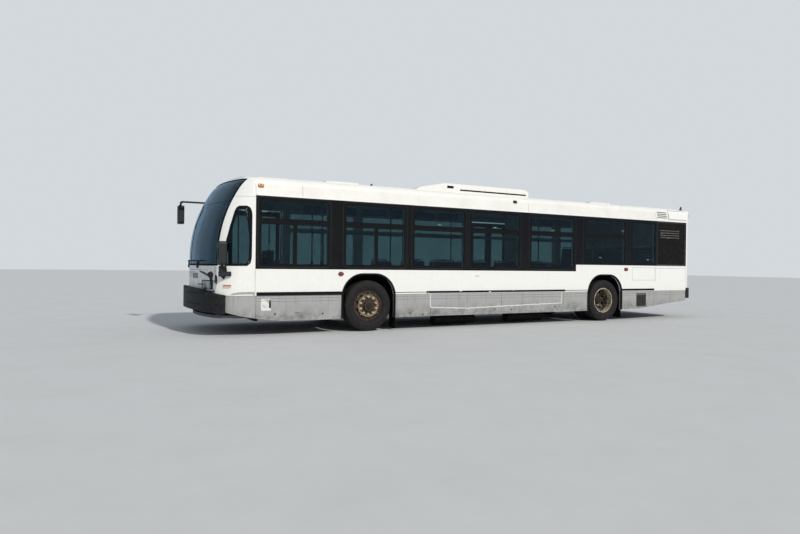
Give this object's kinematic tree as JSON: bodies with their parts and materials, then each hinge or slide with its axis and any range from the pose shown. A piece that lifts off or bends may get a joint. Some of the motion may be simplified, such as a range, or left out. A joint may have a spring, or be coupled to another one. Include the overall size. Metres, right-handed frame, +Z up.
{
  "type": "city bus",
  "caption": "Low-floor city bus with a raised rear floor, steered front wheels, twin rear wheels, glazed door leaves, an engine door and roof hatches.",
  "frame": {"origin": "on the ground under the middle of the overall length and width", "axes": "+X forward, +Y to the left side of the bus, +Z up"},
  "size_m": [12.5299, 3.22, 3.065],
  "materials": {
    "air_tanks": "black chassis paint",
    "bulkhead": "light grey lining",
    "bumper_front": "black rubber",
    "bumper_rear": "black rubber",
    "cross_members": "black chassis paint",
    "dashboard": "dark moulded plastic",
    "engine_block": "cast iron",
    "engine_door": "black paint",
    "floor": "grey sheet flooring",
    "frame_rails": "black chassis paint",
    "front_axle": "cast iron",
    "front_cap": "white gloss paint",
    "front_corners": "white gloss paint",
    "front_door_front_arm": "brushed",
    "front_door_front_glass": "dark tinted glass",
    "front_door_front_leaf": "black paint",
    "front_door_rear_arm": "brushed",
    "front_door_rear_glass": "dark tinted glass",
    "front_door_rear_leaf": "black paint",
    "front_fascia": "black paint",
    "front_glass": "dark tinted glass",
    "grilles": "black paint",
    "handrails": "stainless tube",
    "hatch_front": "white gloss paint",
    "hatch_rear": "white gloss paint",
    "headlamps": "clear lens",
    "knuckle_left": "cast iron",
    "knuckle_right": "cast iron",
    "marker_lamps": "amber lens",
    "mirrors": "dark moulded plastic",
    "mud_flaps": "black rubber",
    "rear_axle": "cast iron",
    "rear_cap": "white gloss paint",
    "rear_door_front_glass": "dark tinted glass",
    "rear_door_front_leaf": "black paint",
    "rear_door_rear_glass": "dark tinted glass",
    "rear_door_rear_leaf": "black paint",
    "rear_platform": "grey sheet flooring",
    "roof": "white gloss paint",
    "roof_pod": "white gloss paint",
    "seats": "dark blue moulded seat",
    "side_glass": "dark tinted glass",
    "side_wall_left": "white gloss paint",
    "side_wall_right": "white gloss paint",
    "skirts": "mid grey paint",
    "steering_wheel": "dark moulded plastic",
    "tail_lamps": "red lens",
    "tie_rod": "cast iron",
    "tyre_front_left": "worn rubber",
    "tyre_front_right": "worn rubber",
    "tyres_rear_left": "worn rubber",
    "tyres_rear_right": "worn rubber",
    "wheel_front_left": "rusty painted steel",
    "wheel_front_right": "rusty painted steel",
    "wheel_housings": "black chassis paint",
    "wheel_rear_left": "grey painted steel with rust",
    "wheel_rear_right": "grey painted steel with rust",
    "wipers": "dark moulded plastic"
  },
  "bodies": {
    "body": {"air_tanks": "air_tanks", "bulkhead": "bulkhead", "bumper_front": "bumper_front", "bumper_rear": "bumper_rear", "cross_members": "cross_members", "dashboard": "dashboard", "engine_block": "engine_block", "floor": "floor", "frame_rails": "frame_rails", "front_axle": "front_axle", "front_cap": "front_cap", "front_corners": "front_corners", "front_fascia": "front_fascia", "front_glass": "front_glass", "grilles": "grilles", "handrails": "handrails", "headlamps": "headlamps", "marker_lamps": "marker_lamps", "mirrors": "mirrors", "mud_flaps": "mud_flaps", "rear_axle": "rear_axle", "rear_cap": "rear_cap", "rear_platform": "rear_platform", "roof": "roof", "roof_pod": "roof_pod", "seats": "seats", "side_glass": "side_glass", "side_wall_left": "side_wall_left", "side_wall_right": "side_wall_right", "skirts": "skirts", "tail_lamps": "tail_lamps", "wheel_housings": "wheel_housings", "wipers": "wipers"},
    "knuckle_left": {"knuckle_left": "knuckle_left"},
    "knuckle_right": {"knuckle_right": "knuckle_right"},
    "tie_rod": {"tie_rod": "tie_rod"},
    "front_left_wheel": {"tyre_front_left": "tyre_front_left", "wheel_front_left": "wheel_front_left"},
    "front_right_wheel": {"tyre_front_right": "tyre_front_right", "wheel_front_right": "wheel_front_right"},
    "rear_left_wheels": {"tyres_rear_left": "tyres_rear_left", "wheel_rear_left": "wheel_rear_left"},
    "rear_right_wheels": {"tyres_rear_right": "tyres_rear_right", "wheel_rear_right": "wheel_rear_right"},
    "front_door_rear_arm": {"front_door_rear_arm": "front_door_rear_arm"},
    "front_door_rear_leaf": {"front_door_rear_leaf": "front_door_rear_leaf", "front_door_rear_glass": "front_door_rear_glass"},
    "front_door_front_arm": {"front_door_front_arm": "front_door_front_arm"},
    "front_door_front_leaf": {"front_door_front_leaf": "front_door_front_leaf", "front_door_front_glass": "front_door_front_glass"},
    "rear_door_rear_leaf": {"rear_door_rear_leaf": "rear_door_rear_leaf", "rear_door_rear_glass": "rear_door_rear_glass"},
    "rear_door_front_leaf": {"rear_door_front_leaf": "rear_door_front_leaf", "rear_door_front_glass": "rear_door_front_glass"},
    "engine_door": {"engine_door": "engine_door"},
    "hatch_front": {"hatch_front": "hatch_front"},
    "hatch_rear": {"hatch_rear": "hatch_rear"},
    "steering_wheel": {"steering_wheel": "steering_wheel"}
  },
  "joints": [
    {"name": "steer_left", "type": "hinge", "parent": "body", "child": "knuckle_left", "pos_m": [3.1, 1, 0.49], "axis": [0, 0, 1], "range_deg": [-42, 42]},
    {"name": "steer_right", "type": "hinge", "parent": "body", "child": "knuckle_right", "pos_m": [3.1, -1, 0.49], "axis": [0, 0, 1], "range_deg": [-42, 42]},
    {"name": "tie_rod_turn", "type": "hinge", "parent": "knuckle_left", "child": "tie_rod", "pos_m": [2.88, 0.91, 0.225], "axis": [0, 0, 1], "range_deg": [-46.5, 46.5]},
    {"name": "steering_wheel_turn", "type": "hinge", "parent": "body", "child": "steering_wheel", "pos_m": [5.42, 0.64, 1.13], "axis": [-0.4226, 0, 0.9063], "range_deg": [-760, 760]},
    {"name": "spin_front_left", "type": "hinge", "parent": "knuckle_left", "child": "front_left_wheel", "pos_m": [3.1, 1.113, 0.49], "axis": [0, 1, 0], "continuous": true},
    {"name": "spin_front_right", "type": "hinge", "parent": "knuckle_right", "child": "front_right_wheel", "pos_m": [3.1, -1.113, 0.49], "axis": [0, 1, 0], "continuous": true},
    {"name": "spin_rear_left", "type": "hinge", "parent": "body", "child": "rear_left_wheels", "pos_m": [-3.1, 0.9415, 0.49], "axis": [0, 1, 0], "continuous": true},
    {"name": "spin_rear_right", "type": "hinge", "parent": "body", "child": "rear_right_wheels", "pos_m": [-3.1, -0.9415, 0.49], "axis": [0, 1, 0], "continuous": true},
    {"name": "front_door_swing", "type": "hinge", "parent": "body", "child": "front_door_rear_arm", "pos_m": [4.088, -1.26, 0.4], "axis": [0, 0, 1], "range_deg": [0, 82]},
    {"name": "front_door_rear_leaf_turn", "type": "hinge", "parent": "front_door_rear_arm", "child": "front_door_rear_leaf", "pos_m": [4.378, -1.26, 0.4], "axis": [0, 0, 1], "range_deg": [-165, 0]},
    {"name": "front_door_front_arm_swing", "type": "hinge", "parent": "body", "child": "front_door_front_arm", "pos_m": [5.262, -1.26, 0.4], "axis": [0, 0, -1], "range_deg": [0, 82]},
    {"name": "front_door_front_leaf_turn", "type": "hinge", "parent": "front_door_front_arm", "child": "front_door_front_leaf", "pos_m": [4.972, -1.26, 0.4], "axis": [0, 0, -1], "range_deg": [-165, 0]},
    {"name": "rear_door_rear_leaf_swing", "type": "hinge", "parent": "body", "child": "rear_door_rear_leaf", "pos_m": [-2.102, -1.26, 0.4], "axis": [0, 0, -1], "range_deg": [0, 85]},
    {"name": "rear_door_front_leaf_swing", "type": "hinge", "parent": "body", "child": "rear_door_front_leaf", "pos_m": [-0.918, -1.26, 0.4], "axis": [0, 0, 1], "range_deg": [0, 85]},
    {"name": "engine_door_swing", "type": "hinge", "parent": "body", "child": "engine_door", "pos_m": [-6.166, 0, 1.557], "axis": [0, 1, 0], "range_deg": [0, 75]},
    {"name": "hatch_front_lift", "type": "hinge", "parent": "body", "child": "hatch_front", "pos_m": [3.663, 0, 2.9205], "axis": [0, 1, 0], "range_deg": [0, 60]},
    {"name": "hatch_rear_lift", "type": "hinge", "parent": "body", "child": "hatch_rear", "pos_m": [-3.487, 0, 2.9205], "axis": [0, 1, 0], "range_deg": [0, 60]}
  ],
  "couplings": [
    {"joint": "steer_right", "follows": "steer_left", "ratio": 1},
    {"joint": "tie_rod_turn", "follows": "steer_left", "ratio": -1.088},
    {"joint": "steering_wheel_turn", "follows": "steer_left", "ratio": 18},
    {"joint": "front_door_rear_leaf_turn", "follows": "front_door_swing", "ratio": -2},
    {"joint": "front_door_front_arm_swing", "follows": "front_door_swing", "ratio": 1},
    {"joint": "front_door_front_leaf_turn", "follows": "front_door_swing", "ratio": -2},
    {"joint": "rear_door_front_leaf_swing", "follows": "rear_door_rear_leaf_swing", "ratio": 1}
  ]
}
